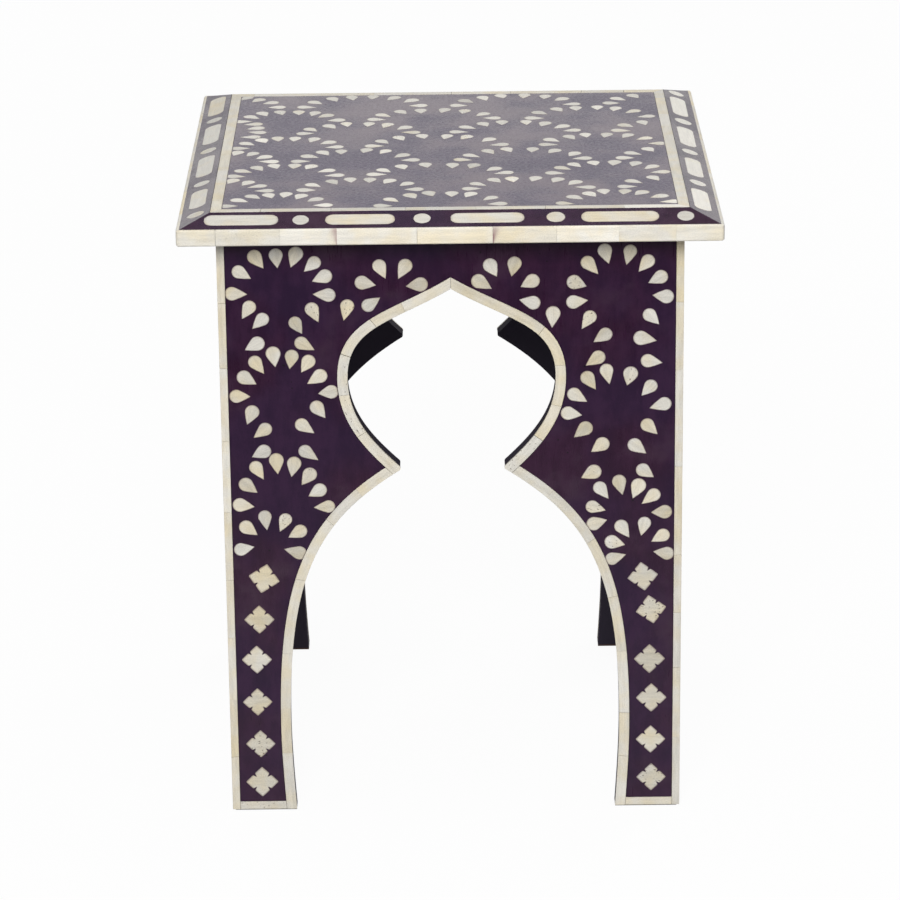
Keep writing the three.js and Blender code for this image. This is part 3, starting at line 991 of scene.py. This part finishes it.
bevelInlay = {
    "width": 12.7 * mm,
    # the two ends of every piece, from left to right along each side: bars and dots in turn
    "spans": {
        "front": [(-171.3, -119.5), (-109.8, -98), (-86.8, -38.3), (-25.5, -13.3), (0.3, 51.8),
            (67, 80.3), (91.3, 145.5), (158, 170)],
        "right": [(-164.5, -111.3), (-99.5, -86.8), (-75.8, -26.8), (-14.5, -1.8), (8.8, 62.5),
            (73.6, 88), (97.5, 153.3), (160.5, 173)],
        "back": [(-167.2, -114.9), (-105.1, -92.6), (-81.3, -31.2), (-19.2, -6.4), (4.4, 57.9),
            (70.9, 84.1), (95.1, 148.7), (159, 171.6)],
        "left": [(-170, -116), (-106.6, -93.6), (-84.6, -30.6), (-17.2, -4.4), (5.5, 60.5),
            (74.5, 87), (97.8, 144), (155.3, 168.3)],
    },
    "squareness": 1.18,
    "rimShare": 0.93,  # a weaker rim, because these pieces are long
    "tone": [0, 0, 0], "toneSpread": (0.3, 0.35),
    # what each side's pieces have on top of that, and the dots besides. A side's own lightness and warmth
    # are painted light: the right bevel's pieces lighter and cooler where more light falls, the left's
    # darker
    "tones": {"front": [0.2, -0.5, 0], "right": [1.5, -1.2, 0], "back": [0, 0, 0], "left": [-0.6, -0.4, 0]},
    "dotTone": [-0.9, -0.4, 0],
    "endSteps": 12, "spread": 0.2 * mm, "wobble": 0.012,
}


def makeBevelPieces(side, quarter):
    # A half circle at each end, squared off a little on a bar by a power of its cosine and sine,
    # and pulled apart by the piece's length.
    rng = np.random.default_rng(90 + quarter)
    spans = np.array(bevelInlay["spans"][side]) * mm
    spots, length = spans.mean(1), spans[:, 1] - spans[:, 0]
    count, steps = len(spots), 2 * bevelInlay["endSteps"]
    width = bevelInlay["width"] + rng.normal(0, bevelInlay["spread"], count)
    width = np.where(length < 2 * width, (width + length) / 2, width)
    around = np.linspace(-np.pi / 2, 1.5 * np.pi, steps, endpoint=False) + np.pi / steps
    circle = np.stack([np.cos(around), np.sin(around)], -1)
    power = np.where(length > 2 * width, 1 / bevelInlay["squareness"], 1.0)
    flat = np.sign(circle) * np.abs(circle) ** power[:, None, None] * width[:, None, None] / 2
    flat *= 1 + rng.normal(0, bevelInlay["wobble"], (count, steps, 1))
    flat[..., 0] += ((length - width) / 2)[:, None] * np.sign(circle[:, 0])
    centres = np.stack([spots, rng.normal(0, bevelInlay["spread"], count)], -1)
    inner = np.array([0, -stringingEdge, topHeight])
    outer = np.array([0, -edgingEdge, bevelFoot])
    right, up = np.array([1, 0, 0]), unit(inner - outer)
    face = faceOf(quarter, (inner + outer) / 2, right, up, np.cross(right, up))
    # The side's tone added here is painted light, lightest on the right bevel.
    tones = randomTones(count, rng, bevelInlay) + bevelInlay["tones"][side]
    tones += (length < 2 * width)[:, None] * np.array(bevelInlay["dotTone"])
    name, outlines = f"top_bevel_pieces_{side}", centres[:, None] + flat
    inlayPieces(name, face, centres, outlines, flat, centres * 0, tones, bevelInlay["rimShare"])


onEverySide(makeBevelPieces)
print("top: bars and dots on the bevels")

# The field of the top: staggered columns of fans, each half an ellipse of eight drops

field = {
    "angles": [176, 148, 123.5, 103, 80.5, 59, 34, 6],
    "dropScale": 0.97,
    # fans as middle across, middle up, half width and height of the ellipse
    "fans": [
        (-120.5, 80.6, 37.7, 31), (-119, 2.7, 38, 30.5), (-118, -76.2, 38, 31.5), (-122, -156, 34, 34.5),
        (-65, 123, 45, 32.5), (-68, 42.1, 43, 31.5), (-68.5, -36.8, 43.5, 32.5), (-63.5, -115.6, 41.5, 31),
        (-10.5, 83.5, 46.5, 29.5), (-8.5, 4.7, 48.5, 30.5), (-7, -75.2, 49, 29), (-6, -158, 42, 34.5),
        (51.5, 123, 45.5, 32.5), (50.5, 42.1, 44.5, 31.5), (54, -36.8, 46, 31.5), (56, -116.6, 44, 31),
        (107, 81.6, 44, 34.5), (112, 2.2, 43, 32.5), (114, -76.2, 41, 31.5), (118, -156, 38, 33),
        (171, 124, 48, 32.5), (171, 42.1, 46, 32.5), (172, -36.8, 46, 31.5), (171, -115.6, 47, 32.5),
    ],
    # the half fans at the left edge hold four drops, spread wider
    "edgeAngles": [66, 50, 29, 5],
    "edgeFans": [(-172, 121.5, 43, 38), (-172, -36.8, 43, 33), (-172, -116, 43, 35)],
    # single drops: across, up and where the tip points
    "singles": [(-145, 73.6, 186), (-143.8, 61.2, 190), (-141.8, 49, 170), (-146, 37, 178)],
    "placeSpread": 0.8 * mm, "turnSpread": 6.0,
    "tone": [0.5, -1.2, 0], "toneSpread": (0.8, 0.4),
    "least": 1.5 * mm,  # how far inside the field a drop's middle lies at least
}

pouredField = {
    "sink": 0.07 * mm,  # how far the resin lies below the bone
    "swell": 0.03 * mm, "thickness": 1.6 * mm, "steps": 81,
    "waves": [(31, 17, 0.3), (-19, 37, 1.9), (47, -23, 4.1), (11, 53, 2.6)],
}


def makePouredField():
    # Height (x, y) = the bone's height less the sink and the mean of some long slanted waves, as
    # hand sanding leaves it. Below hangs a flat back of the same outline.
    steps, edge, bottom = pouredField["steps"], fieldEdge, topHeight - pouredField["thickness"]
    line = np.linspace(-edge, edge, steps)
    x, y = np.meshgrid(line, line, indexing="ij")
    waves = [np.sin(u * x + v * y + shift) for u, v, shift in pouredField["waves"]]
    top = topHeight - pouredField["sink"] + pouredField["swell"] * np.mean(waves, 0)
    points = np.stack([x, y, top], -1).reshape(-1, 3)
    ids = np.arange(steps * steps).reshape(steps, steps)
    over = np.stack([ids[:-1, :-1], ids[1:, :-1], ids[1:, 1:], ids[:-1, 1:]], -1).reshape(-1, 4)
    rim = np.concatenate([ids[:-1, 0], ids[-1, :-1], ids[:0:-1, -1], ids[0, :0:-1]])
    below = steps * steps + np.arange(len(rim))
    walls = np.stack([below, np.roll(below, -1), np.roll(rim, -1), rim], -1)
    points = np.vstack([points, np.column_stack([points[rim, :2], np.full(len(rim), bottom)])])
    blocks = [over, walls, below[None, ::-1]]
    addPiece("top_field_poured", points, blocks, topResin, ["top_field_resin"])


def fanDrops(fans, angles):
    # A drop's head is on the ellipse, and its tip points along the ellipse's inward normal.
    x, y, across, up = np.array(fans, float).T[:, :, None]
    flatWay, upWay = direction(angles).T
    way = np.degrees(np.arctan2(-upWay / up, -flatWay / across))
    return np.stack([x + across * flatWay, y + up * upWay, way], -1).reshape(-1, 3)


def makeFieldDrops():
    rng = np.random.default_rng(95)
    whole = fanDrops(field["fans"], field["angles"])
    rows = np.vstack([whole, fanDrops(field["edgeFans"], field["edgeAngles"]), field["singles"]])
    heads = rows[:, :2] * mm + rng.normal(0, field["placeSpread"], (len(rows), 2))
    ways = rows[:, 2] + rng.normal(0, field["turnSpread"], len(rows))
    drawn = dropOutlines(spread(heads, ways), ways, rng, field["dropScale"])
    kept = (np.abs(drawn[1]) < fieldEdge - field["least"]).all(-1)
    outlines, middles, grain, grainMiddles = (part[kept] for part in drawn)
    outlines = clipped(outlines, middles, -fieldEdge, fieldEdge)
    face = faceOf(0, (0, 0, topHeight), (1, 0, 0), (0, 1, 0), upwards, 0.0)
    tones = randomTones(len(middles), rng, field)
    inlayPieces("top_field_drops", face, middles, outlines, grain, grainMiddles, tones)


makePouredField()
makeFieldDrops()
print("top: the poured field and its fans of drops")

# Stage, light and camera

stage = {
    "floorHalf": 9.0, "floor": (170, 170, 170), "floorLit": (244, 244, 244), "floorShown": 0.95,
    "floorFade": (0.7, 1.15),  # metres from the middle between which reflections see it darken
    "floorFarShare": 0.08, "ambient": 0.36, "ceiling": 0.28,
    "dimming": (0.24, 0.43),  # heights in the sky, from 0 to 1, between which reflections see it dim
}


def makeFloor():
    # The camera sees the floor nearly white, with the object's shadow on it. Reflections see it
    # darken away from the object.
    mesh = bpy.data.meshes.new("floor")
    corners = np.array([(-1, -1, 0), (1, -1, 0), (1, 1, 0), (-1, 1, 0)]) * stage["floorHalf"]
    mesh.from_pydata(corners.tolist(), [], [(0, 1, 2, 3)])
    floor = addObject("floor", mesh)
    material = bpy.data.materials.new("floor")
    material.use_nodes = True
    tree = material.node_tree
    tree.nodes.clear()
    rays = addNode("LightPath", {}, tree)
    kinds = (rays[f"Is {kind} Ray"] for kind in ("Camera", "Glossy", "Transmission"))
    seen = calculate("MAXIMUM", *kinds)
    shade = mixColours(seen, stage["floor"], stage["floorLit"])
    plain = addNode("BsdfDiffuse", {"Color": shade})[0]
    place = addNode("TexCoord", {}, tree)["Object"]
    away = addNode("VectorMath", {0: place}, operation="LENGTH")["Value"]
    nearby = remap(away, *stage["floorFade"], 1.0, stage["floorFarShare"])
    strength = calculate("MAXIMUM", nearby, rays["Is Camera Ray"])
    glow = addNode("Emission", {"Strength": strength})[0]
    share = times(seen, stage["floorShown"])
    mixed = addNode("MixShader", {0: share, 1: plain, 2: glow})[0]
    addNode("OutputMaterial", {"Surface": mixed}, is_active_output=True)
    mesh.materials.append(material)


def makeWorld():
    # White for the camera. Reflections see white near the horizon and a dimmer ceiling above.
    world = bpy.data.worlds.new("studio")
    bpy.context.scene.world = world
    world.use_nodes = True
    tree = world.node_tree
    rays = addNode("LightPath", {}, tree)
    up = addNode("SeparateXYZ", {0: addNode("TexCoord", {}, tree)["Generated"]})[2]
    dimmed = remap(up, *stage["dimming"], 1.0, stage["ceiling"])
    mirrored = calculate("MAXIMUM", rays["Is Glossy Ray"], rays["Is Transmission Ray"])
    difference = calculate("SUBTRACT", dimmed, stage["ambient"])
    strength = plus(times(mirrored, difference), stage["ambient"])
    strength = calculate("MAXIMUM", strength, rays["Is Camera Ray"])
    fill(tree.nodes["Background"], {"Strength": strength, "Color": (1, 1, 1, 1)})


lamps = {
    "front": {"at": (-0.25, -2.5, 1.87), "size": 1.1, "power": 58, "mirrored": False},
    "above": {"at": (0.2, -0.3, 3.0), "size": 2.0, "power": 6, "mirrored": True},
    "behind": {"at": (1.7, 1.9, 1.7), "size": 1.6, "power": 18, "mirrored": True},
    "rear": {"at": (-1.3, 2.6, 1.4), "size": 1.6, "power": 11, "mirrored": False},
}


def makeLamps():
    target = Vector((0, 0, topHeight / 2))
    for name, lamp in lamps.items():
        light = bpy.data.lights.new(name, "AREA")
        light.size, light.energy = lamp["size"], lamp["power"]
        holder = addObject(name, light)
        holder.location = lamp["at"]
        holder.rotation_euler = (target - Vector(lamp["at"])).to_track_quat("-Z", "Y").to_euler()
        holder.visible_glossy = lamp["mirrored"]


camera = {
    "at": (-6.59 * mm, -2838.0 * mm, 1215.89 * mm),
    "pitch": 19.298,  # degrees down from the horizon
    "yaw": 0.105, "roll": -0.617, "lens": 158.858,
}


def makeCamera():
    # Rolled about the line of sight, then tilted down, then swung to the side.
    data = bpy.data.cameras.new("camera")
    data.lens = camera["lens"]
    holder = addObject("camera", data)
    turns = ("Z", -camera["yaw"]), ("X", 90 - camera["pitch"]), ("Z", camera["roll"])
    yaw, pitch, roll = (Matrix.Rotation(np.radians(angle), 4, axis) for axis, angle in turns)
    holder.matrix_world = Matrix.Translation(camera["at"]) @ yaw @ pitch @ roll
    bpy.context.scene.camera = holder


makeFloor()
makeWorld()
makeLamps()
makeCamera()
bpy.context.scene.view_settings.view_transform = "Standard"
print("stage: floor, world, lamps and camera")
